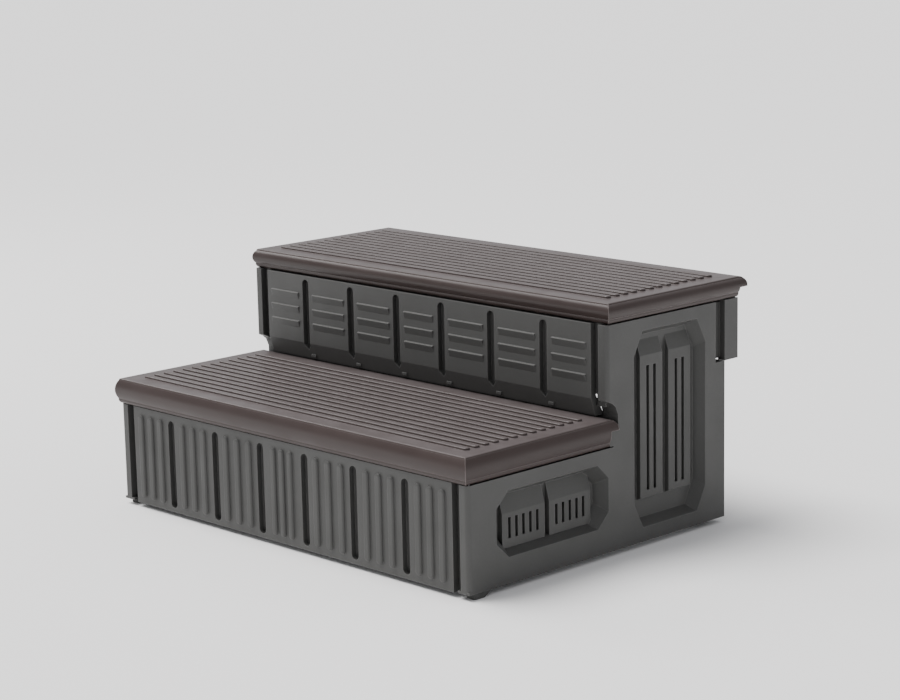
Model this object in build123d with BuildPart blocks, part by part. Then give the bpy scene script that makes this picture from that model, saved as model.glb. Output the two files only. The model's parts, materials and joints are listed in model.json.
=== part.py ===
"""Two-step spa steps in moulded plastic: two treads on two side panels, two risers and a rear brace.

Millimetres, +Z up, +Y towards the spa. The origin is the middle of the footprint on the floor.
"""

import os

from build123d import *

os.makedirs("parts", exist_ok=True)

# Treads. A crease line is the top edge of a skirt, and the skirts swell past it.
WIDTH = 914.0
SKIRT_BULGE = 6.0
BELLY_DROP = 4.5
SKIRT_TURN = 8.0
TREAD_DEPTH = 339.0
LIP_REACH = 15.0
STEP_SETBACK = 335.0
LOWER_RISE = 236.0
UPPER_RISE = 433.0
LOWER_SKIRT = 45.5
UPPER_SKIRT = 35.0
TREAD_WALL = 3.2
SKIRT_EDGE = 3.0
SIDE_SKIRT_LENGTH = 335.0
GRIP_RIBS = 13
GRIP_PITCH = 21.8
GRIP_WIDTH = 13.0
GRIP_LENGTH = 840.0
GRIP_HEIGHT = 4.0
GRIP_ROUNDING = 3.0
STIFFENER = 3.0
STIFFENER_DEPTH = 14.0
STIFFENER_PITCH = 90.0

DEPTH = SKIRT_BULGE + STEP_SETBACK + TREAD_DEPTH + LIP_REACH
CREASE_X = WIDTH / 2 - SKIRT_BULGE
LOWER_FRONT = SKIRT_BULGE - DEPTH / 2
UPPER_FRONT = LOWER_FRONT + STEP_SETBACK

# Panels
FOOT_HEIGHT = 10.0
PANEL = 4.0
SIDE_X = CREASE_X + 0.5
SKIRT_GAP = 1.5
BASE_Z = FOOT_HEIGHT
LOWER_WALL_TOP = LOWER_RISE - LOWER_SKIRT - SKIRT_GAP
UPPER_WALL_TOP = UPPER_RISE - UPPER_SKIRT - SKIRT_GAP
POST_PROUD = 1.0
CORNER_RADIUS = 8.0
TOUCH = 0.1
LOWER_FACE = LOWER_FRONT + 4.0
UPPER_FACE = UPPER_FRONT - 4.5
RISER_THICK = 12.0
RISER_HALF = 415.0
RISER_BASE = BASE_Z - 2.0
POST_INNER = 432.5
SLOT_X = (58.0, 181.0, 306.0)
SLOT_WIDTH = 17.5
SLOT_DEPTH = 10.0

# Fixings. Every flange that carries a tread lies FLANGE_DROP below that tread's crease.
FLANGE_DROP = 28.0
FLANGE_REACH = 33.0
TONGUE_SETBACK = 8.0
RISER_TONGUE = 392.0
BOSS_R = 4.8
PILOT_R = 2.1
CLEAR_R = 2.4
SCREW_R = 1.9
SCREW_HEAD_R = 4.0
SCREW_HEAD = 2.6
BITE = 14.0
PANEL_BITE = 6.5
FRONT_BOSS_Y = 24.0
REAR_BOSS_Y = TREAD_DEPTH - 16.0
FRONT_BOSS_X = (70.0, 240.0, 385.0)
SIDE_BOSS_X = 428.0
SIDE_BOSS_Y = (90.0, 245.0)
RISER_SCREW_X = 404.0
PILOT_END = 1.0

# Rear corner, where the brace stands in a notch of each side panel
REAR_Y = 292.4
NOTCH_Y = 268.0
NOTCH_Z = 290.0
BRACE_REAR = 328.0
BRACE_INSET = 440.0
BRACE_GAP = 0.3
BRACE_TONGUE = 24.0
BEAD_X = (85.0, 255.0)
BEAD_LENGTH = 140.0
BEAD_WIDTH = 24.0
BEAD_DEPTH = 2.5


def mirrored(points):
    """The points of a half outline and, going back, their mirror images in x = 0."""
    return [*points, *((-x, y) for x, y in reversed(points))]


def both_sides(values):
    """Each value with its negative, from left to right."""
    return sorted([*values, *(-v for v in values)])


def slab(points, plane, amount, mode=Mode.ADD):
    """A prism on `plane` from a closed outline."""
    with BuildSketch(plane) as outline:
        with BuildLine():
            Polyline(*points, close=True)
        make_face()
    extrude(outline.sketch, amount, mode=mode)


# ------------------------------------------------------------------ treads


def skirt_outline(edge, top, skirt, side, inset):
    """Curves of one barrel skirt from the top surface to its foot, swelling to `side` of `edge`."""
    out = SKIRT_BULGE - inset
    start = (edge - side * (SKIRT_EDGE + inset), top - inset)
    shoulder = (edge - side * inset, top - inset - SKIRT_EDGE)
    corner = 0.3 * SKIRT_EDGE
    crown = (edge - side * (inset + corner), top - inset - corner)
    tucked = out - BELLY_DROP
    low = (edge + side * tucked, top - skirt + SKIRT_TURN)
    fall = (shoulder[1] - low[1]) / (1 + (BELLY_DROP / SKIRT_BULGE) ** 0.5)
    belly = (edge + side * out, shoulder[1] - fall)
    turn = (edge + side * (tucked - SKIRT_EDGE / 4), top - skirt + SKIRT_EDGE)
    foot = (edge - side * (inset + 2), top - skirt)
    ThreePointArc(start, crown, shoulder)
    ThreePointArc(shoulder, belly, low)
    ThreePointArc(low, turn, foot)
    return start, foot


def cross_outline(top, skirt, inset, drop):
    """Section across the tread in XZ: a skirt on each side, closed `drop` below the foot."""
    left_start, left_foot = skirt_outline(-CREASE_X, top, skirt, -1, inset)
    right_start, right_foot = skirt_outline(CREASE_X, top, skirt, 1, inset)
    low = top - skirt - drop
    Line(left_start, right_start)
    if drop:
        Polyline(left_foot, (left_foot[0], low), (right_foot[0], low), right_foot)
    else:
        Line(left_foot, right_foot)


def lip_outline(rear, top, inset):
    """Quarter-round lip behind the rear crease, from the top surface to its tip."""
    radius = LIP_REACH - inset
    start = (rear, top - inset)
    tip = (rear + radius, top - LIP_REACH)
    middle = (rear + radius * 0.7071, top - LIP_REACH + radius * 0.7071)
    ThreePointArc(start, middle, tip)
    return start, tip


def tread_shell(front, top, skirt):
    """Outer form of a tread less its open underside."""
    rear = front + TREAD_DEPTH
    notch = front + SIDE_SKIRT_LENGTH
    lip_low = top - LIP_REACH - TREAD_WALL
    low = top - skirt - 5
    with BuildPart() as outer:
        with BuildSketch(Plane.YZ):
            with BuildLine():
                start, foot = skirt_outline(front, top, skirt, -1, 0)
                lip_start, tip = lip_outline(rear, top, 0)
                Line(start, lip_start)
                Polyline(tip, (tip[0], lip_low), (notch, lip_low), (notch, foot[1]), foot)
            make_face()
        extrude(amount=WIDTH, both=True)
        with BuildSketch(Plane.XZ.offset(-rear - LIP_REACH)):
            with BuildLine():
                cross_outline(top, skirt, 0, 0)
            make_face()
        extrude(amount=TREAD_DEPTH + 2 * LIP_REACH, mode=Mode.INTERSECT)
    with BuildPart() as cavity:
        with BuildSketch(Plane.YZ):
            with BuildLine():
                start, foot = skirt_outline(front, top, skirt, -1, TREAD_WALL)
                lip_start, tip = lip_outline(rear, top, TREAD_WALL)
                Line(start, lip_start)
                Polyline(tip, (tip[0], low), (foot[0], low), foot)
            make_face()
        extrude(amount=WIDTH, both=True)
        with BuildSketch(Plane.XZ.offset(-rear - LIP_REACH)):
            with BuildLine():
                cross_outline(top, skirt, TREAD_WALL, 5)
            make_face()
        extrude(amount=TREAD_DEPTH + 2 * LIP_REACH, mode=Mode.INTERSECT)
    return outer.part - cavity.part


def tread_holes(front):
    """Screw places under a tread, as (x, y): the front row, the rear row, and each side."""
    rows = [(x, front + y) for y in (FRONT_BOSS_Y, REAR_BOSS_Y) for x in both_sides(FRONT_BOSS_X)]
    sides = [(x, front + y) for x in (-SIDE_BOSS_X, SIDE_BOSS_X) for y in SIDE_BOSS_Y]
    return rows + sides


with BuildPart() as grip_rib:
    with BuildSketch():
        SlotOverall(GRIP_LENGTH, GRIP_WIDTH)
    extrude(amount=GRIP_HEIGHT + 1)
    fillet(grip_rib.faces().sort_by(Axis.Z)[-1].edges(), GRIP_ROUNDING)


def make_tread(front, top, skirt):
    """A moulded tread: skirted deck, grip ribs on top, stiffeners and screw bosses below."""
    centre_y = front + TREAD_DEPTH / 2
    under = top - TREAD_WALL
    ribbed = TREAD_DEPTH - STIFFENER_PITCH
    with BuildPart() as tread:
        add(tread_shell(front, top, skirt))
        with Locations((0, centre_y, top - 1)):
            with GridLocations(0, GRIP_PITCH, 1, GRIP_RIBS):
                add(grip_rib.part)
        with BuildSketch(Plane.XY.offset(under - STIFFENER_DEPTH)):
            with Locations((0, centre_y)):
                with GridLocations(STIFFENER_PITCH, 0, 9, 1):
                    Rectangle(STIFFENER, ribbed)
                with GridLocations(0, ribbed / 2, 1, 3):
                    Rectangle(8 * STIFFENER_PITCH, STIFFENER)
        extrude(amount=STIFFENER_DEPTH + 1)
        with BuildSketch(Plane.XY.offset(top - FLANGE_DROP)):
            with Locations(*tread_holes(front)):
                Circle(BOSS_R)
        extrude(amount=FLANGE_DROP - TREAD_WALL + 1)
        with BuildSketch(Plane.XY.offset(top - FLANGE_DROP)):
            with Locations(*tread_holes(front)):
                Circle(PILOT_R)
        extrude(amount=BITE + 2, mode=Mode.SUBTRACT)
    return tread


lower_tread = make_tread(LOWER_FRONT, LOWER_RISE, LOWER_SKIRT)
lower_tread.part.label = "lower_tread"
export_step(lower_tread.part, "parts/lower_tread.step")

upper_tread = make_tread(UPPER_FRONT, UPPER_RISE, UPPER_SKIRT)
upper_tread.part.label = "upper_tread"
export_step(upper_tread.part, "parts/upper_tread.step")

# ------------------------------------------------------------------ risers

SLOT_EDGES = [x + s * SLOT_WIDTH / 2 for x in both_sides(SLOT_X) for s in (-1, 1)]
BAY_EDGES = [-RISER_HALF, *SLOT_EDGES, RISER_HALF]
BAYS = [(BAY_EDGES[i], BAY_EDGES[i + 1]) for i in range(0, len(BAY_EDGES), 2)]


def middle(bay):
    """Centre of a bay."""
    return (bay[0] + bay[1]) / 2


def riser_pockets(face, low, high):
    """Hollows the back of every bay, leaving a wall behind the face and around each slot."""
    with BuildSketch(Plane.XZ.offset(-face - RISER_THICK)) as pockets:
        for bay in BAYS:
            with Locations((middle(bay), (low + high) / 2)):
                Rectangle(bay[1] - bay[0] - 2 * PANEL, high - low)
    extrude(pockets.sketch, RISER_THICK - PANEL, mode=Mode.SUBTRACT)


def riser_bosses(face, heights):
    """Screw bosses in the end bays, open at the back, for the screws through the side panels."""
    places = [(x, z) for x in (-RISER_SCREW_X, RISER_SCREW_X) for z in heights]
    back = Plane.XZ.offset(-face - RISER_THICK)
    with BuildSketch(back) as bosses:
        with Locations(*places):
            Circle(BOSS_R)
    extrude(bosses.sketch, RISER_THICK - PANEL + 1)
    with BuildSketch(back) as pilots:
        with Locations(*places):
            Circle(PILOT_R)
    extrude(pilots.sketch, PANEL_BITE + PILOT_END, mode=Mode.SUBTRACT)


def riser_flange(face, front, wall_top, flange):
    """Shelf along a riser's top edge, tongue up inside the skirt, and the flange under the tread."""
    tongue = front + TONGUE_SETBACK
    outline = [
        (face + 1, wall_top),
        (tongue, wall_top),
        (tongue, flange),
        (tongue + FLANGE_REACH, flange),
        (tongue + FLANGE_REACH, flange - PANEL),
        (tongue + PANEL, flange - PANEL),
        (tongue + PANEL, wall_top - PANEL),
        (face + 1, wall_top - PANEL),
    ]
    slab(outline, Plane.YZ.offset(-RISER_TONGUE), 2 * RISER_TONGUE)


def flange_holes(front, row, top):
    """Clearance holes for the tread screws through a flange whose upper face is at `top`."""
    with BuildSketch(Plane.XY.offset(top - PANEL)) as holes:
        with Locations(*((x, front + row) for x in both_sides(FRONT_BOSS_X))):
            Circle(CLEAR_R)
    extrude(holes.sketch, PANEL, mode=Mode.SUBTRACT)


LOWER_FLANGE = LOWER_RISE - FLANGE_DROP
UPPER_FLANGE = UPPER_RISE - FLANGE_DROP
LOWER_SCREW_Z = (40.0, 100.0, 160.0)
UPPER_SCREW_Z = (290.0, 360.0)
RIB_PITCH = (28.0, 30.0, 31.5, 22.0, 31.5, 30.0, 28.0)
RIB_LOW = BASE_Z + 10
RIB_HIGH = BASE_Z + 166
SLOT_LOW = BASE_Z + 6
SLOT_HIGH = BASE_Z + 167
RIB_DEPTH = 5.5
RIB_ROUNDING = 4.2
NARROW_RIB = 13.0


def face_rib(width):
    """A round-ended upright rib, standing 1 mm into the face."""
    with BuildPart(mode=Mode.PRIVATE) as rib:
        with BuildSketch(Plane.XZ):
            with Locations((0, (RIB_LOW + RIB_HIGH) / 2)):
                SlotOverall(RIB_HIGH - RIB_LOW, width, rotation=90)
        extrude(amount=RIB_DEPTH)
        fillet(rib.faces().sort_by(Axis.Y)[0].edges(), RIB_ROUNDING)
    return rib.part


with BuildPart() as lower_riser:
    with BuildSketch(Plane.XY.offset(RISER_BASE)):
        with Locations((0, LOWER_FACE + RISER_THICK / 2)):
            Rectangle(2 * RISER_HALF, RISER_THICK)
    extrude(amount=LOWER_WALL_TOP - RISER_BASE)
    with BuildSketch(Plane.XZ.offset(-LOWER_FACE)):
        with Locations(*((x, (SLOT_LOW + SLOT_HIGH) / 2) for x in both_sides(SLOT_X))):
            SlotOverall(SLOT_HIGH - SLOT_LOW, SLOT_WIDTH, rotation=90)
    extrude(amount=-SLOT_DEPTH, mode=Mode.SUBTRACT)
    riser_pockets(LOWER_FACE, BASE_Z + PANEL, LOWER_WALL_TOP - PANEL)
    riser_flange(LOWER_FACE, LOWER_FRONT, LOWER_WALL_TOP, LOWER_FLANGE)
    for bay, pitch in zip(BAYS, RIB_PITCH):
        rib = face_rib(min(SLOT_WIDTH - 2.5, pitch - 9))
        with Locations((middle(bay), LOWER_FACE + 1, 0)):
            with GridLocations(pitch, 0, 3, 1):
                add(rib)
    riser_bosses(LOWER_FACE, LOWER_SCREW_Z)
    flange_holes(LOWER_FRONT, FRONT_BOSS_Y, LOWER_FLANGE)
lower_riser.part.label = "lower_riser"
export_step(lower_riser.part, "parts/lower_riser.step")

# The upper riser leans back at its foot to clear the lower tread's lip, then carries that tread.
FACE_LOW = BASE_Z + 259
UNDERCUT_LOW = LOWER_RISE + 1.5
UNDERCUT_Y = UPPER_FACE + 10.0
LEDGE_WALL = UPPER_FRONT + 23.5
LEDGE_FRONT = LOWER_FRONT + REAR_BOSS_Y - 10
UPPER_SLOT_HIGH = BASE_Z + 379.5
UPPER_SLOT_POINT = BASE_Z + 245.5
LOUVRE_TOPS = (BASE_Z + 299.5, BASE_Z + 326.5, BASE_Z + 353.5)
LOUVRE_WIDTHS = (77.0, 87.0, 85.0, 73.0, 85.0, 87.0, 77.0)
LOUVRE_DROP = 18.0
LOUVRE_PROUD = 2.6
LOUVRE_LIP = 1.4
TAB_SIZE = (12.0, 8.0, 5.0)
TAB_OFFSET = 12.0


def louvre(width, top):
    """One pressed louvre: proud at its top edge and fading into the face below."""
    with BuildPart(mode=Mode.PRIVATE) as blade:
        with BuildSketch(Plane.YZ):
            with BuildLine():
                Polyline(
                    (1, top),
                    (-LOUVRE_PROUD, top - LOUVRE_LIP),
                    (-LOUVRE_PROUD, top - 2 * LOUVRE_LIP),
                    (1, top - LOUVRE_DROP),
                    close=True,
                )
            make_face()
        extrude(amount=width / 2, both=True)
    return blade.part


with BuildPart() as upper_riser:
    with BuildSketch(Plane.YZ):
        with BuildLine():
            Polyline(
                (UPPER_FACE, UPPER_WALL_TOP),
                (UPPER_FACE, FACE_LOW),
                (UNDERCUT_Y, UNDERCUT_LOW),
                (LEDGE_WALL, UNDERCUT_LOW),
                (LEDGE_WALL, UNDERCUT_LOW + 6),
                (UPPER_FACE + RISER_THICK, FACE_LOW + 4),
                (UPPER_FACE + RISER_THICK, UPPER_WALL_TOP),
                close=True,
            )
        make_face()
    extrude(amount=RISER_HALF, both=True)
    with BuildSketch(Plane.XZ.offset(-UPPER_FACE)):
        for x in both_sides(SLOT_X):
            half = SLOT_WIDTH / 2
            shoulder = UPPER_SLOT_HIGH - half
            with BuildLine():
                Polyline(
                    (x - half, shoulder),
                    (x - half, FACE_LOW - 4),
                    (x, UPPER_SLOT_POINT),
                    (x + half, FACE_LOW - 4),
                    (x + half, shoulder),
                )
                ThreePointArc((x + half, shoulder), (x, UPPER_SLOT_HIGH), (x - half, shoulder))
            make_face()
    extrude(amount=-SLOT_DEPTH, mode=Mode.SUBTRACT)
    riser_pockets(UPPER_FACE, FACE_LOW + PANEL + 4, UPPER_WALL_TOP - PANEL)
    riser_flange(UPPER_FACE, UPPER_FRONT, UPPER_WALL_TOP, UPPER_FLANGE)
    ledge = [
        (LEDGE_WALL - 2, UNDERCUT_LOW + 1),
        (LEDGE_WALL - 2, UNDERCUT_LOW + 5),
        (LEDGE_WALL + PANEL, UNDERCUT_LOW + 5),
        (LEDGE_WALL + PANEL, LOWER_FLANGE - PANEL),
        (LEDGE_FRONT, LOWER_FLANGE - PANEL),
        (LEDGE_FRONT, LOWER_FLANGE),
        (LEDGE_WALL, LOWER_FLANGE),
        (LEDGE_WALL, UNDERCUT_LOW + 1),
    ]
    slab(ledge, Plane.YZ.offset(-RISER_HALF), 2 * RISER_HALF)
    with Locations(*((x + TAB_OFFSET, UPPER_FACE + 9, UNDERCUT_LOW + 8) for x in both_sides(SLOT_X))):
        Box(*TAB_SIZE)
    for bay, width in zip(BAYS, LOUVRE_WIDTHS):
        for top in LOUVRE_TOPS:
            with Locations((middle(bay), UPPER_FACE, 0)):
                add(louvre(width, top))
    riser_bosses(UPPER_FACE, UPPER_SCREW_Z)
    flange_holes(UPPER_FRONT, FRONT_BOSS_Y, UPPER_FLANGE)
    flange_holes(LOWER_FRONT, REAR_BOSS_Y, LOWER_FLANGE)
upper_riser.part.label = "upper_riser"
export_step(upper_riser.part, "parts/upper_riser.step")

# ------------------------------------------------------------------ side panels

LOWER_POST = LOWER_FACE - POST_PROUD
UPPER_POST = UPPER_FACE - POST_PROUD
PATCH_Y = UPPER_FRONT + 22.0
PATCH_TOP = LOWER_RISE - LIP_REACH - TREAD_WALL - 2
PATCH_FRONT = UPPER_FRONT + 2.0
PATCH_GAP = 2.0
PATCH_GAP_LENGTH = 8.0
LIP_CLEARANCE = [
    (UPPER_POST, FACE_LOW),
    (UPPER_FRONT + 8, FACE_LOW - 6),
    (UPPER_FRONT + 16, FACE_LOW - 13),
    (PATCH_Y, LOWER_RISE + 6),
]
FILLER_X = RISER_HALF + 2.5
FILLER = [
    (UPPER_POST, FACE_LOW + 7),
    *LIP_CLEARANCE,
    (PATCH_Y, LOWER_FLANGE - 2),
    (PATCH_Y + PANEL, LOWER_FLANGE - 2),
    (PATCH_Y + PANEL, LOWER_RISE + 8),
    (UPPER_FRONT + 19, FACE_LOW - 9),
    (UPPER_FRONT + 10, FACE_LOW - 2),
    (UPPER_POST + PANEL, FACE_LOW + 1),
    (UPPER_POST + PANEL, FACE_LOW + 7),
]
GAP_POINT = [
    (POST_INNER, FACE_LOW + 2),
    (FILLER_X - 1, FACE_LOW - 20),
    (FILLER_X - 1, FACE_LOW + 12),
    (POST_INNER, FACE_LOW + 12),
]
RETURN_X = 425.0
INNER_X = SIDE_X - PANEL
FLANGE_INNER = 418.0
RAIL_START = 17.0
TONGUE_X = 444.0
FOOT_STEM_R = 4.0
BRACE_SCREW_Y = 254.0
BRACE_SCREW_Z = (315.0, 375.0)
FRONT_FOOT = (441.0, LOWER_POST + 31.5)
REAR_FOOT = (408.0, 262.0)
FOOT_LENGTH = 38.0
FOOT_WIDTH = 20.0
FOOT_SLOPE = 16.0
FOOT_ROUNDING = 4.0


def post(face, low, high):
    """Corner post in plan: front wall, the side of the shadow gap, and the flange behind the riser."""
    back = face + POST_PROUD + RISER_THICK
    outline = [
        (SIDE_X, face),
        (POST_INNER, face),
        (POST_INNER, back),
        (RISER_SCREW_X - 9, back),
        (RISER_SCREW_X - 9, back + PANEL),
        (POST_INNER + PANEL, back + PANEL),
        (POST_INNER + PANEL, face + PANEL),
        (SIDE_X, face + PANEL),
    ]
    slab(outline, Plane.XY.offset(low), high - low)


def top_rail(wall_top, flange, start, end):
    """Step in from the panel's top edge, then up inside the tread's skirt to its flange."""
    outline = [
        (SIDE_X, wall_top),
        (TONGUE_X, wall_top),
        (TONGUE_X, flange),
        (FLANGE_INNER, flange),
        (FLANGE_INNER, flange - PANEL),
        (TONGUE_X - PANEL, flange - PANEL),
        (TONGUE_X - PANEL, wall_top - PANEL),
        (SIDE_X, wall_top - PANEL),
    ]
    slab(outline, Plane.XZ.offset(-end), end - start)


def octagon(centre, half_y, half_z, cut_y, cut_z, grow):
    """Cut-cornered outline in YZ, moved outwards by `grow`."""
    y, z = centre
    a, b = half_y + grow, half_z + grow
    quarter = [(a, b - cut_z), (a - cut_y, b)]
    upper = [*quarter, (cut_y - a, b), (-a, b - cut_z)]
    lower = [(-p, -q) for p, q in upper]
    return [(y + p, z + q) for p, q in upper + lower]


def recess(vent, x_outer, x_inner, grow):
    """Tapering octagonal body between two planes, as a private part."""
    with BuildPart(mode=Mode.PRIVATE) as body:
        for x, taper in ((x_outer, 0), (x_inner, vent["taper"])):
            with BuildSketch(Plane.YZ.offset(x)):
                with BuildLine():
                    Polyline(*octagon(*vent["outline"], grow - taper), close=True)
                make_face()
        loft()
    return body.part


def vent_blocks(vent):
    """The raised blocks on a vent's floor, each with a sloping roof and sill."""
    y = vent["outline"][0][0]
    floor_x = SIDE_X - vent["depth"]
    face_x = SIDE_X - vent["face_depth"]
    for side in (-1, 1):
        centre = y + side * vent["block_offset"]
        half = vent["block_half"]
        outline = [
            (floor_x - 1, vent["roof_top"]),
            (floor_x, vent["roof_top"]),
            (face_x, vent["roof_low"]),
            (face_x, vent["block_low"] + 4),
            (floor_x, vent["block_low"]),
            (floor_x - 1, vent["block_low"]),
        ]
        slab(outline, Plane.XZ.offset(-centre - half), 2 * half)


def vent_slots(vent):
    """Air slots right through the blocks."""
    y = vent["outline"][0][0]
    low, high = vent["slot_z"]
    with BuildSketch(Plane.YZ.offset(SIDE_X)) as slots:
        for side in (-1, 1):
            with Locations((y + side * vent["block_offset"], (low + high) / 2)):
                with GridLocations(vent["slot_pitch"], 0, vent["slots"], 1):
                    Rectangle(vent["slot_width"], high - low)
    extrude(slots.sketch, -2 * vent["depth"], mode=Mode.SUBTRACT)


LOWER_VENT = {
    "outline": ((-142.0, BASE_Z + 99.5), 133.0, 55.0, 27.0, 26.0),
    "taper": 13.0,
    "depth": 26.0,
    "face_depth": 16.0,
    "block_offset": 55.0,
    "block_half": 49.5,
    "roof_top": BASE_Z + 147.5,
    "roof_low": BASE_Z + 112,
    "block_low": BASE_Z + 50,
    "slots": 5,
    "slot_pitch": 16.2,
    "slot_width": 6.2,
    "slot_z": (BASE_Z + 69.0, BASE_Z + 104.0),
}
UPPER_VENT = {
    "outline": ((148.0, BASE_Z + 195.0), 92.5, 170.0, 22.0, 42.0),
    "taper": 11.0,
    "depth": 20.0,
    "face_depth": 11.0,
    "block_offset": 36.5,
    "block_half": 28.5,
    "roof_top": BASE_Z + 345,
    "roof_low": BASE_Z + 319,
    "block_low": BASE_Z + 68,
    "slots": 2,
    "slot_pitch": 17.5,
    "slot_width": 7.2,
    "slot_z": (BASE_Z + 84.0, BASE_Z + 301.0),
}


def brace_bosses():
    """Bosses inside the panel for the screws through the rear brace's tongues."""
    with BuildSketch(Plane.YZ.offset(BRACE_INSET)) as bosses:
        with Locations(*((BRACE_SCREW_Y, z) for z in BRACE_SCREW_Z)):
            Circle(BOSS_R)
    extrude(bosses.sketch, SIDE_X - BRACE_INSET - 1)
    with BuildSketch(Plane.YZ.offset(BRACE_INSET)) as pilots:
        with Locations(*((BRACE_SCREW_Y, z) for z in BRACE_SCREW_Z)):
            Circle(PILOT_R)
    extrude(pilots.sketch, PANEL_BITE + PILOT_END, mode=Mode.SUBTRACT)


def panel_holes():
    """Clearance holes for the tread screws and for the screws into both risers."""
    for front, top in ((LOWER_FRONT, LOWER_FLANGE), (UPPER_FRONT, UPPER_FLANGE)):
        with BuildSketch(Plane.XY.offset(top - PANEL)) as holes:
            with Locations(*((SIDE_BOSS_X, front + y) for y in SIDE_BOSS_Y)):
                Circle(CLEAR_R)
        extrude(holes.sketch, PANEL, mode=Mode.SUBTRACT)
    for face, heights in ((LOWER_FACE, LOWER_SCREW_Z), (UPPER_FACE, UPPER_SCREW_Z)):
        with BuildSketch(Plane.XZ.offset(-face - RISER_THICK - PANEL)) as holes:
            with Locations(*((RISER_SCREW_X, z) for z in heights)):
                Circle(CLEAR_R)
        extrude(holes.sketch, PANEL, mode=Mode.SUBTRACT)


with BuildPart() as right_side_panel:
    with BuildSketch(Plane.YZ.offset(INNER_X)):
        with BuildLine():
            Polyline(
                *LIP_CLEARANCE,
                (PATCH_Y, PATCH_TOP),
                (PATCH_FRONT, PATCH_TOP),
                (PATCH_FRONT, LOWER_WALL_TOP + PATCH_GAP),
                (PATCH_FRONT + PATCH_GAP_LENGTH, LOWER_WALL_TOP + PATCH_GAP),
                (PATCH_FRONT + PATCH_GAP_LENGTH, LOWER_WALL_TOP),
                (LOWER_POST, LOWER_WALL_TOP),
                (LOWER_POST, BASE_Z),
                (REAR_Y, BASE_Z),
                (REAR_Y, NOTCH_Z),
                (NOTCH_Y, NOTCH_Z),
                (NOTCH_Y, UPPER_WALL_TOP),
                (UPPER_POST, UPPER_WALL_TOP),
                close=True,
            )
        make_face()
    extrude(amount=PANEL)
    post(LOWER_POST, BASE_Z, LOWER_WALL_TOP)
    post(UPPER_POST, FACE_LOW + 6, UPPER_WALL_TOP)
    slab(FILLER, Plane.YZ.offset(FILLER_X), INNER_X - FILLER_X)
    slab(GAP_POINT, Plane.XZ.offset(-UPPER_FRONT - 8), 8 + UPPER_FRONT - UPPER_POST + 1, Mode.SUBTRACT)
    slab(
        [
            (FILLER_X, UPPER_FRONT + 8),
            (POST_INNER + PANEL, UPPER_FRONT + 8),
            (POST_INNER + PANEL, UPPER_FRONT + 12),
            (FILLER_X, UPPER_FRONT + 12),
        ],
        Plane.XY.offset(FACE_LOW - 14),
        23,
    )
    slab(
        [
            (UPPER_POST, FACE_LOW + 7),
            *LIP_CLEARANCE,
            (PATCH_Y + PANEL, LOWER_RISE + 6),
            (PATCH_Y + PANEL, FACE_LOW + 7),
        ],
        Plane.YZ.offset(POST_INNER),
        PANEL,
    )
    upright = right_side_panel.edges().filter_by(Axis.Z)
    outer = upright.filter_by_position(Axis.X, SIDE_X - TOUCH, SIDE_X + TOUCH)
    for y in (LOWER_POST, UPPER_POST):
        fillet(outer.filter_by_position(Axis.Y, y - TOUCH, y + TOUCH), CORNER_RADIUS)
    top_rail(LOWER_WALL_TOP, LOWER_FLANGE, LOWER_POST + RAIL_START, PATCH_Y + 1)
    top_rail(UPPER_WALL_TOP, UPPER_FLANGE, UPPER_POST + RAIL_START, NOTCH_Y - 14)
    slab(
        [(RETURN_X, LOWER_POST), (SIDE_X, LOWER_POST), (SIDE_X, REAR_Y), (RETURN_X, REAR_Y)],
        Plane.XY.offset(BASE_Z),
        PANEL,
    )
    slab(
        [(POST_INNER, REAR_Y - PANEL), (SIDE_X, REAR_Y - PANEL), (SIDE_X, REAR_Y), (POST_INNER, REAR_Y)],
        Plane.XY.offset(BASE_Z),
        NOTCH_Z - BASE_Z,
    )
    slab(
        [(POST_INNER, NOTCH_Y - PANEL), (SIDE_X, NOTCH_Y - PANEL), (SIDE_X, REAR_Y), (POST_INNER, REAR_Y)],
        Plane.XY.offset(NOTCH_Z - PANEL),
        PANEL,
    )
    slab(
        [
            (BRACE_INSET + 1, NOTCH_Y - PANEL),
            (SIDE_X, NOTCH_Y - PANEL),
            (SIDE_X, NOTCH_Y),
            (BRACE_INSET + 1, NOTCH_Y),
        ],
        Plane.XY.offset(NOTCH_Z),
        UPPER_WALL_TOP - NOTCH_Z,
    )
    with Locations(((REAR_FOOT[0] + RETURN_X) / 2 - 6, REAR_FOOT[1], BASE_Z + PANEL / 2)):
        Box(RETURN_X - REAR_FOOT[0] + 14, FOOT_LENGTH, PANEL)
    for vent in (LOWER_VENT, UPPER_VENT):
        add(recess(vent, SIDE_X, SIDE_X - vent["depth"] - PANEL, PANEL))
        add(recess(vent, SIDE_X, SIDE_X - vent["depth"], 0), mode=Mode.SUBTRACT)
        vent_blocks(vent)
        vent_slots(vent)
    brace_bosses()
    panel_holes()
    for centre in (FRONT_FOOT, REAR_FOOT):
        with Locations((*centre, BASE_Z)):
            Cylinder(FOOT_STEM_R + 0.3, 3 * PANEL, mode=Mode.SUBTRACT)
right_side_panel.part.label = "right_side_panel"
export_step(right_side_panel.part, "parts/right_side_panel.step")

with BuildPart() as left_side_panel:
    add(mirror(right_side_panel.part, about=Plane.YZ, mode=Mode.PRIVATE))
left_side_panel.part.label = "left_side_panel"
export_step(left_side_panel.part, "parts/left_side_panel.step")

# ------------------------------------------------------------------ rear brace

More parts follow.
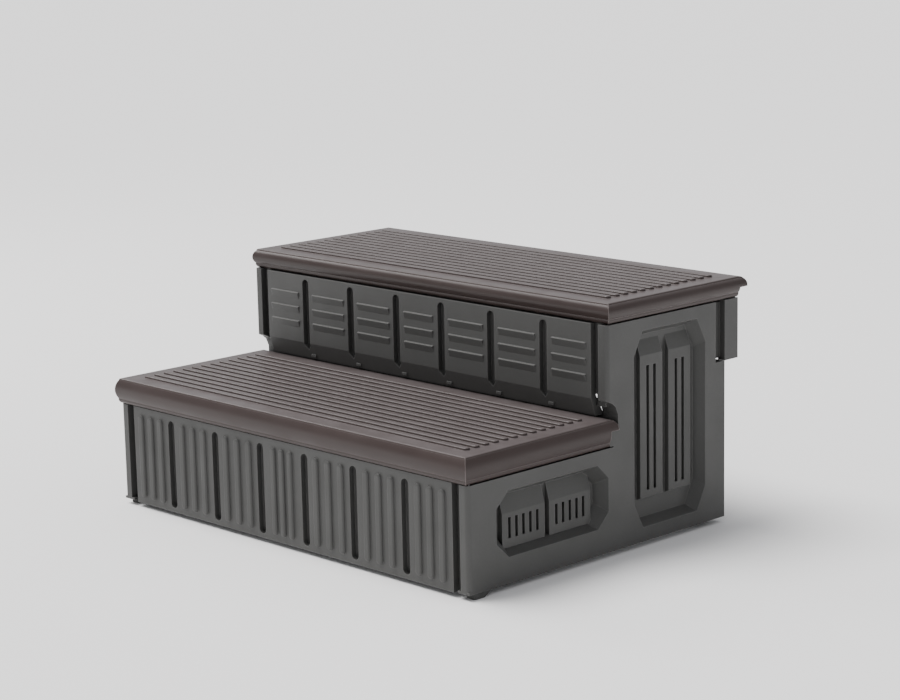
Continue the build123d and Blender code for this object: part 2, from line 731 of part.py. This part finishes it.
with BuildPart() as rear_brace:
    half_plan = [
        (SIDE_X, BRACE_REAR),
        (SIDE_X, REAR_Y + BRACE_GAP),
        (BRACE_INSET - PANEL, REAR_Y + BRACE_GAP),
        (BRACE_INSET - PANEL, REAR_Y + PANEL),
        (SIDE_X - PANEL, REAR_Y + PANEL),
        (SIDE_X - PANEL, BRACE_REAR - PANEL),
    ]
    slab(mirrored(half_plan), Plane.XY.offset(NOTCH_Z), UPPER_WALL_TOP - NOTCH_Z)
    for side in (-1, 1):
        x = side * (BRACE_INSET - PANEL / 2)
        with Locations((x, (NOTCH_Y - BRACE_TONGUE + REAR_Y + PANEL) / 2, (NOTCH_Z + UPPER_WALL_TOP) / 2)):
            Box(PANEL, REAR_Y + PANEL - NOTCH_Y + BRACE_TONGUE, UPPER_WALL_TOP - NOTCH_Z - 2 * PANEL)
    with BuildSketch(Plane.YZ):
        with BuildLine():
            Polyline(
                (BRACE_REAR, UPPER_WALL_TOP - 1),
                (BRACE_REAR, UPPER_FLANGE),
                (REAR_Y + 6, UPPER_FLANGE),
                (REAR_Y + 6, UPPER_FLANGE - PANEL),
                (BRACE_REAR - PANEL, UPPER_FLANGE - PANEL),
                (BRACE_REAR - PANEL, UPPER_WALL_TOP - 1),
                close=True,
            )
        make_face()
    extrude(amount=FLANGE_INNER, both=True)
    with BuildSketch(Plane.XZ.offset(-BRACE_REAR)):
        with Locations(*((x, (NOTCH_Z + UPPER_WALL_TOP) / 2) for x in both_sides(BEAD_X))):
            SlotOverall(BEAD_LENGTH, BEAD_WIDTH)
    extrude(amount=-BEAD_DEPTH, mode=Mode.SUBTRACT)
    flange_holes(UPPER_FRONT, REAR_BOSS_Y, UPPER_FLANGE)
    with BuildSketch(Plane.YZ):
        with Locations(*((BRACE_SCREW_Y, z) for z in BRACE_SCREW_Z)):
            Circle(CLEAR_R)
    extrude(amount=WIDTH / 2, both=True, mode=Mode.SUBTRACT)
rear_brace.part.label = "rear_brace"
export_step(rear_brace.part, "parts/rear_brace.step")

# ------------------------------------------------------------------ feet

with BuildPart() as foot_pad:
    half = FOOT_LENGTH / 2
    outline = [(-half, FOOT_HEIGHT), (-half, 0), (half - FOOT_SLOPE, 0), (half, FOOT_HEIGHT)]
    slab(outline, Plane.YZ.offset(-FOOT_WIDTH / 2), FOOT_WIDTH)
    fillet(foot_pad.edges().filter_by(Axis.Z), FOOT_ROUNDING)
    with Locations((0, 0, FOOT_HEIGHT + PANEL / 2)):
        Cylinder(FOOT_STEM_R, PANEL + 0.01)
    with Locations((0, 0, FOOT_HEIGHT + PANEL)):
        Cone(FOOT_STEM_R + 1, FOOT_STEM_R - 1.5, 4, align=(Align.CENTER, Align.CENTER, Align.MIN))

FEET = {
    "front_right_foot": FRONT_FOOT,
    "front_left_foot": (-FRONT_FOOT[0], FRONT_FOOT[1]),
    "rear_right_foot": REAR_FOOT,
    "rear_left_foot": (-REAR_FOOT[0], REAR_FOOT[1]),
}
for name, centre in FEET.items():
    with BuildPart() as foot:
        with Locations((*centre, 0)):
            add(foot_pad.part)
    foot.part.label = name
    export_step(foot.part, f"parts/{name}.step")

# ------------------------------------------------------------------ screws


def make_screw(shank):
    """A pan-head screw with a cross recess, head below the origin and shank along +Z."""
    with BuildPart() as screw:
        with BuildSketch():
            Circle(SCREW_HEAD_R)
        extrude(amount=-SCREW_HEAD)
        fillet(screw.faces().sort_by(Axis.Z)[0].edges(), 1.2)
        with BuildSketch():
            Circle(SCREW_R)
        extrude(amount=shank)
        chamfer(screw.faces().sort_by(Axis.Z)[-1].edges(), 0.8)
        with BuildSketch(Plane.XY.offset(-SCREW_HEAD)):
            Rectangle(4, 1)
            Rectangle(1, 4)
        extrude(amount=1.4, mode=Mode.SUBTRACT)
    return screw.part


TREAD_SCREW = make_screw(PANEL + BITE)
PANEL_SCREW = make_screw(PANEL + PANEL_BITE)


def tread_screws(front, top):
    """The screw places under one tread, by row and side, on the underside of its flanges."""
    low = top - FLANGE_DROP - PANEL
    return {
        "front": [(x, front + FRONT_BOSS_Y, low) for x in both_sides(FRONT_BOSS_X)],
        "rear": [(x, front + REAR_BOSS_Y, low) for x in both_sides(FRONT_BOSS_X)],
        "left": [(-SIDE_BOSS_X, front + y, low) for y in SIDE_BOSS_Y],
        "right": [(SIDE_BOSS_X, front + y, low) for y in SIDE_BOSS_Y],
    }


GROUPS = []
for tread, front, top in (("lower_tread", LOWER_FRONT, LOWER_RISE), ("upper_tread", UPPER_FRONT, UPPER_RISE)):
    for row, places in tread_screws(front, top).items():
        GROUPS.append((f"{tread}_{row}_screws", TREAD_SCREW, (0, 0, 0), places))
for side, sign in (("left", -1), ("right", 1)):
    for riser, face, heights in (
        ("lower_riser", LOWER_FACE, LOWER_SCREW_Z),
        ("upper_riser", UPPER_FACE, UPPER_SCREW_Z),
    ):
        back = face + RISER_THICK + PANEL
        places = [(sign * RISER_SCREW_X, back, z) for z in heights]
        GROUPS.append((f"{riser}_{side}_screws", PANEL_SCREW, (90, 0, 0), places))
    places = [(sign * (BRACE_INSET - PANEL), BRACE_SCREW_Y, z) for z in BRACE_SCREW_Z]
    GROUPS.append((f"rear_brace_{side}_screws", PANEL_SCREW, (0, sign * 90, 0), places))

for name, screw, turn, places in GROUPS:
    with BuildPart() as group:
        with Locations(*(Location(place, turn) for place in places)):
            add(screw)
    group.part.label = name
    export_step(group.part, f"parts/{name}.step")
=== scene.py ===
"""Looks for the moulded spa steps: satin grey panels, espresso treads, rubber feet and steel screws.

Lengths are in metres and colours are linear.
"""

import json
import math

import bpy
from mathutils import Matrix, Vector

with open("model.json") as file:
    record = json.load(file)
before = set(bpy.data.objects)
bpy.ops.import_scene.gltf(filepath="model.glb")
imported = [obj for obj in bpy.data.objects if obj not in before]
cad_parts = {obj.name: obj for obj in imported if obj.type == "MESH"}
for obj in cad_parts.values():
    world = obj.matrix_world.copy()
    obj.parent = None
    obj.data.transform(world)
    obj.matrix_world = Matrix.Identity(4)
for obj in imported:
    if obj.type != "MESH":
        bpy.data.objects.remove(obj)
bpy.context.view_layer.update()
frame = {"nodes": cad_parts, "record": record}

# ------------------------------------------------------------------ camera

CAMERA_PLACE = Vector((3.0635, -2.8891, 1.1570))
CAMERA_TURN = math.radians(46.036)
CAMERA_DROP = math.radians(11.587)
CAMERA_ROLL = math.radians(-1.195)
FOCAL_PIXELS = 2405.6
IMAGE_WIDTH = 900
SENSOR_WIDTH = 36.0
CLIP_END = 60


def make_camera():
    """A long lens seen from the right front, a little above the upper tread."""
    back = Vector(
        (
            math.sin(CAMERA_TURN) * math.cos(CAMERA_DROP),
            -math.cos(CAMERA_TURN) * math.cos(CAMERA_DROP),
            math.sin(CAMERA_DROP),
        )
    )
    level = (-back).cross(Vector((0, 0, 1))).normalized()
    upright = level.cross(-back)
    right = math.cos(CAMERA_ROLL) * level + math.sin(CAMERA_ROLL) * upright
    up = math.cos(CAMERA_ROLL) * upright - math.sin(CAMERA_ROLL) * level
    data = bpy.data.cameras.new("camera")
    data.sensor_width = SENSOR_WIDTH
    data.lens = FOCAL_PIXELS * SENSOR_WIDTH / IMAGE_WIDTH
    data.clip_end = CLIP_END
    camera = bpy.data.objects.new("camera", data)
    axes = Matrix((right, up, back)).transposed()
    camera.matrix_world = Matrix.Translation(CAMERA_PLACE) @ axes.to_4x4()
    bpy.context.scene.collection.objects.link(camera)
    bpy.context.scene.camera = camera


# ------------------------------------------------------------------ materials

GREY_DARK = (0.043, 0.043, 0.0415)
GREY_LIGHT = (0.05, 0.05, 0.048)
GREY_FLECK = (0.07, 0.0705, 0.067)
# Painted highlight colour for the hard edges of the grey moulding.
GREY_EDGE_HIGHLIGHT = (0.135, 0.135, 0.13)
# Painted shade colour for slots and gaps in the grey moulding.
GREY_PAINTED_SHADE = (0.008, 0.008, 0.008)

BROWN_DARK = (0.029, 0.020, 0.018)
BROWN_LIGHT = (0.036, 0.025, 0.023)
BROWN_FLECK = (0.048, 0.032, 0.030)
# Painted sheen colours for the upward faces of the treads, mottled by noise.
BROWN_TOP_SHEEN_DARK = (0.082, 0.068, 0.067)
BROWN_TOP_SHEEN_LIGHT = (0.102, 0.087, 0.087)
# Painted highlight colour for the hard edges of the treads.
BROWN_EDGE_HIGHLIGHT = (0.24, 0.205, 0.2)
# Painted shade colour for slots and gaps in the treads.
BROWN_PAINTED_SHADE = (0.012, 0.008, 0.008)

RUBBER_DARK = (0.045, 0.0455, 0.044)
RUBBER_LIGHT = (0.062, 0.062, 0.059)

STEEL_DARK = (0.42, 0.41, 0.39)
STEEL_LIGHT = (0.6, 0.59, 0.57)

BEVEL_SAMPLES = 6
GAP_SAMPLES = 8
NOISE_DETAIL = 4.0
NOISE_RANGE = (0.3, 0.7)
FLAT_TO_UP = (0.5, 0.95)
EDGE_TO_FLAT = (0.86, 0.995)
GAP_TO_OPEN = (0.15, 0.6)


class Nodes:
    """Short calls for building one material's node tree."""

    def __init__(self, name):
        self.material = bpy.data.materials.new(name)
        self.material.use_nodes = True
        self.tree = self.material.node_tree
        self.shader = self.tree.nodes["Principled BSDF"]

    def add(self, kind, **settings):
        """A new node with its attributes set."""
        node = self.tree.nodes.new(kind)
        for key, value in settings.items():
            setattr(node, key, value)
        return node

    def link(self, output, target):
        """Joins an output to an input socket."""
        self.tree.links.new(output, target)

    def drive(self, name, output):
        """Joins an output to one of the shader's own sockets."""
        self.link(output, self.shader.inputs[name])

    def noise(self, scale, detail=NOISE_DETAIL):
        """Noise over the object's own coordinates, as a value output."""
        place = self.add("ShaderNodeTexCoord")
        noise = self.add("ShaderNodeTexNoise")
        noise.inputs["Scale"].default_value = scale
        noise.inputs["Detail"].default_value = detail
        self.link(place.outputs["Object"], noise.inputs["Vector"])
        return noise.outputs["Fac"]

    def ramp(self, value, stops):
        """A colour ramp over a value; stops are two (position, colour) pairs."""
        ramp = self.add("ShaderNodeValToRGB")
        for element, (position, colour) in zip(ramp.color_ramp.elements, stops):
            element.position = position
            element.color = (*colour, 1)
        self.link(value, ramp.inputs["Fac"])
        return ramp.outputs["Color"]

    def span(self, value, low, high, source=NOISE_RANGE):
        """A value moved from its source range to the range low to high."""
        node = self.add("ShaderNodeMapRange")
        node.inputs["From Min"].default_value = source[0]
        node.inputs["From Max"].default_value = source[1]
        node.inputs["To Min"].default_value = low
        node.inputs["To Max"].default_value = high
        self.link(value, node.inputs["Value"])
        return node.outputs["Result"]

    def mix(self, factor, first, second):
        """Mix of two colours, each a tuple or an output, by a factor output."""
        node = self.add("ShaderNodeMix", data_type="RGBA")
        self.link(factor, node.inputs["Factor"])
        for socket, colour in ((node.inputs["A"], first), (node.inputs["B"], second)):
            if isinstance(colour, tuple):
                socket.default_value = (*colour, 1)
            else:
                self.link(colour, socket)
        return node.outputs["Result"]

    def rounded(self, radius):
        """A normal with moulded edges softened to a radius."""
        bevel = self.add("ShaderNodeBevel", samples=BEVEL_SAMPLES)
        bevel.inputs["Radius"].default_value = radius
        return bevel.outputs["Normal"]

    def bump(self, height, distance, strength, normal=None):
        """A bump from a height output, on top of another normal if one is given."""
        bump = self.add("ShaderNodeBump")
        bump.inputs["Distance"].default_value = distance
        bump.inputs["Strength"].default_value = strength
        self.link(height, bump.inputs["Height"])
        if normal is not None:
            self.link(normal, bump.inputs["Normal"])
        return bump.outputs["Normal"]

    def upward(self):
        """1 on faces turned up and 0 on walls."""
        plain = self.add("ShaderNodeNewGeometry")
        split = self.add("ShaderNodeSeparateXYZ")
        self.link(plain.outputs["Normal"], split.inputs["Vector"])
        return self.span(split.outputs["Z"], 0, 1, FLAT_TO_UP)

    def edges(self, radius):
        """1 along hard edges and 0 on flat ground, from how far a rounded normal turns away."""
        plain = self.add("ShaderNodeNewGeometry")
        turn = self.add("ShaderNodeVectorMath", operation="DOT_PRODUCT")
        self.link(self.rounded(radius), turn.inputs[0])
        self.link(plain.outputs["Normal"], turn.inputs[1])
        return self.span(turn.outputs["Value"], 1, 0, EDGE_TO_FLAT)

    def painted_edge_highlight(self, radius, amount, ground, colour):
        """A ground colour lightened towards another along the hard edges, by up to the amount: a
        painted highlight.
        """
        share = self.span(self.edges(radius), 0, amount, (0, 1))
        return self.mix(share, ground, colour)

    def painted_gap_shade(self, reach, ground, colour):
        """A ground colour darkened to another in slots and shadow gaps narrower than the reach:
        painted shade from an occlusion mask.
        """
        shade = self.add("ShaderNodeAmbientOcclusion", samples=GAP_SAMPLES)
        shade.inputs["Distance"].default_value = reach
        return self.mix(self.span(shade.outputs["AO"], 0, 1, GAP_TO_OPEN), colour, ground)


def body_grey():
    """Satin grey moulding: fine spark grain, faint flow marks, painted highlights on the edges and
    painted shade in slots and gaps.
    """
    m = Nodes("body_grey")
    base = m.ramp(m.noise(scale=3.5), [(0.35, GREY_DARK), (0.65, GREY_LIGHT)])
    flecked = m.mix(m.span(m.noise(scale=900, detail=2), low=0, high=0.5), base, GREY_FLECK)
    # Painted highlight: the hard edges are lightened towards a pale grey.
    edge_lit = m.painted_edge_highlight(radius=0.0025, amount=0.6, ground=flecked, colour=GREY_EDGE_HIGHLIGHT)
    # Painted shade darkens the slots and shadow gaps.
    m.drive("Base Color", m.painted_gap_shade(reach=0.012, ground=edge_lit, colour=GREY_PAINTED_SHADE))
    m.drive("Roughness", m.span(m.noise(scale=14), low=0.46, high=0.6))
    soft = m.rounded(radius=0.0016)
    flow = m.bump(m.noise(scale=9, detail=3), distance=0.0012, strength=0.25, normal=soft)
    grain = m.bump(m.noise(scale=1500, detail=3), distance=0.0002, strength=0.35, normal=flow)
    m.drive("Normal", grain)
    m.shader.inputs["Specular IOR Level"].default_value = 0.45
    return m.material


def tread_brown():
    """Espresso moulding: satin sheen, finer grain, paler tops from a painted sheen, painted
    highlights on the rib edges and painted shade in the gaps.
    """
    m = Nodes("tread_brown")
    base = m.ramp(m.noise(scale=4), [(0.35, BROWN_DARK), (0.65, BROWN_LIGHT)])
    flecked = m.mix(m.span(m.noise(scale=1100, detail=2), low=0, high=0.5), base, BROWN_FLECK)
    # Painted sheen: the upward faces take paler mauve-grey colours, mottled by noise.
    top_sheen = m.ramp(m.noise(scale=26), [(0.3, BROWN_TOP_SHEEN_DARK), (0.7, BROWN_TOP_SHEEN_LIGHT)])
    sheened_tops = m.mix(m.upward(), flecked, top_sheen)
    # Painted highlight: the hard rib edges are lightened towards a pale brown.
    edge_lit = m.painted_edge_highlight(radius=0.002, amount=0.8, ground=sheened_tops, colour=BROWN_EDGE_HIGHLIGHT)
    # Painted shade darkens the slots and shadow gaps.
    m.drive("Base Color", m.painted_gap_shade(reach=0.008, ground=edge_lit, colour=BROWN_PAINTED_SHADE))
    m.drive("Roughness", m.span(m.noise(scale=16), low=0.3, high=0.42))
    soft = m.rounded(radius=0.0014)
    flow = m.bump(m.noise(scale=8, detail=3), distance=0.0010, strength=0.2, normal=soft)
    grain = m.bump(m.noise(scale=1700, detail=3), distance=0.00015, strength=0.3, normal=flow)
    m.drive("Normal", grain)
    m.shader.inputs["Specular IOR Level"].default_value = 0.3
    return m.material


def foot_rubber():
    """Dull dark grey rubber with a dusty, pitted skin."""
    m = Nodes("foot_rubber")
    m.drive("Base Color", m.ramp(m.noise(scale=60), [(0.3, RUBBER_DARK), (0.75, RUBBER_LIGHT)]))
    m.drive("Roughness", m.span(m.noise(scale=200), low=0.7, high=0.9))
    pits = m.noise(scale=900, detail=3)
    m.drive("Normal", m.bump(pits, distance=0.0003, strength=0.4, normal=m.rounded(radius=0.001)))
    return m.material


def screw_steel():
    """Stainless steel, mottled and dulled by weather."""
    m = Nodes("screw_steel")
    m.drive("Base Color", m.ramp(m.noise(scale=300), [(0.3, STEEL_DARK), (0.7, STEEL_LIGHT)]))
    m.drive("Roughness", m.span(m.noise(scale=500), low=0.25, high=0.45))
    m.drive("Normal", m.bump(m.noise(scale=1200, detail=2), distance=0.0001, strength=0.3))
    m.shader.inputs["Metallic"].default_value = 1.0
    return m.material


def dress_cad():
    """Each CAD node takes the material of its record slot."""
    made = {
        "body_grey": body_grey(),
        "tread_brown": tread_brown(),
        "foot_rubber": foot_rubber(),
        "screw_steel": screw_steel(),
    }
    for part in frame["record"]["subparts"]:
        node = frame["nodes"][part["node"]]
        node.data.materials.clear()
        node.data.materials.append(made[part["material_slot"]])


# ------------------------------------------------------------------ stage

FLOOR_SIZE = 60
FLOOR_COLOUR = (0.93, 0.93, 0.93, 1)
FLOOR_ROUGHNESS = 0.9

SURROUND_COLOUR = (0.97, 0.975, 1.0, 1)
SURROUND_STRENGTH = 0.62

KEY_PLACE = Vector((-3.6, -0.4, 2.6))
KEY_TARGET = Vector((0, 0, 0.2))
KEY_SIZE = 1.2
KEY_POWER = 40
KEY_COLOUR = (1, 0.985, 0.96)

DAYLIGHT_FROM = Vector((-0.42, -0.22, 1))
DAYLIGHT_STRENGTH = 4.2
DAYLIGHT_SPREAD = math.radians(38)
DAYLIGHT_COLOUR = (1, 0.985, 0.975)


def make_floor():
    """A plain pale floor under the feet."""
    mesh = bpy.data.meshes.new("floor")
    half = FLOOR_SIZE / 2
    corners = [(-half, -half, 0), (half, -half, 0), (half, half, 0), (-half, half, 0)]
    mesh.from_pydata(corners, [], [(0, 1, 2, 3)])
    floor = bpy.data.objects.new("floor", mesh)
    bpy.context.scene.collection.objects.link(floor)
    m = Nodes("floor")
    m.shader.inputs["Base Color"].default_value = FLOOR_COLOUR
    m.shader.inputs["Roughness"].default_value = FLOOR_ROUGHNESS
    mesh.materials.append(m.material)


def add_light(name, kind, energy, colour, source):
    """A light of a kind, turned so that it shines along the line from its source; returns both."""
    data = bpy.data.lights.new(name, kind)
    data.energy = energy
    data.color = colour
    light = bpy.data.objects.new(name, data)
    light.rotation_euler = source.to_track_quat("Z", "Y").to_euler()
    bpy.context.scene.collection.objects.link(light)
    return light, data


def make_lights():
    """Broad daylight from the left and above, a small key and a pale even surround."""
    world = bpy.data.worlds.new("surround")
    world.use_nodes = True
    background = world.node_tree.nodes["Background"]
    background.inputs["Color"].default_value = SURROUND_COLOUR
    background.inputs["Strength"].default_value = SURROUND_STRENGTH
    bpy.context.scene.world = world
    key, data = add_light("key", "AREA", KEY_POWER, KEY_COLOUR, KEY_PLACE - KEY_TARGET)
    key.location = KEY_PLACE
    data.size = KEY_SIZE
    _, data = add_light("daylight", "SUN", DAYLIGHT_STRENGTH, DAYLIGHT_COLOUR, DAYLIGHT_FROM)
    data.angle = DAYLIGHT_SPREAD


make_camera()
dress_cad()
make_floor()
make_lights()
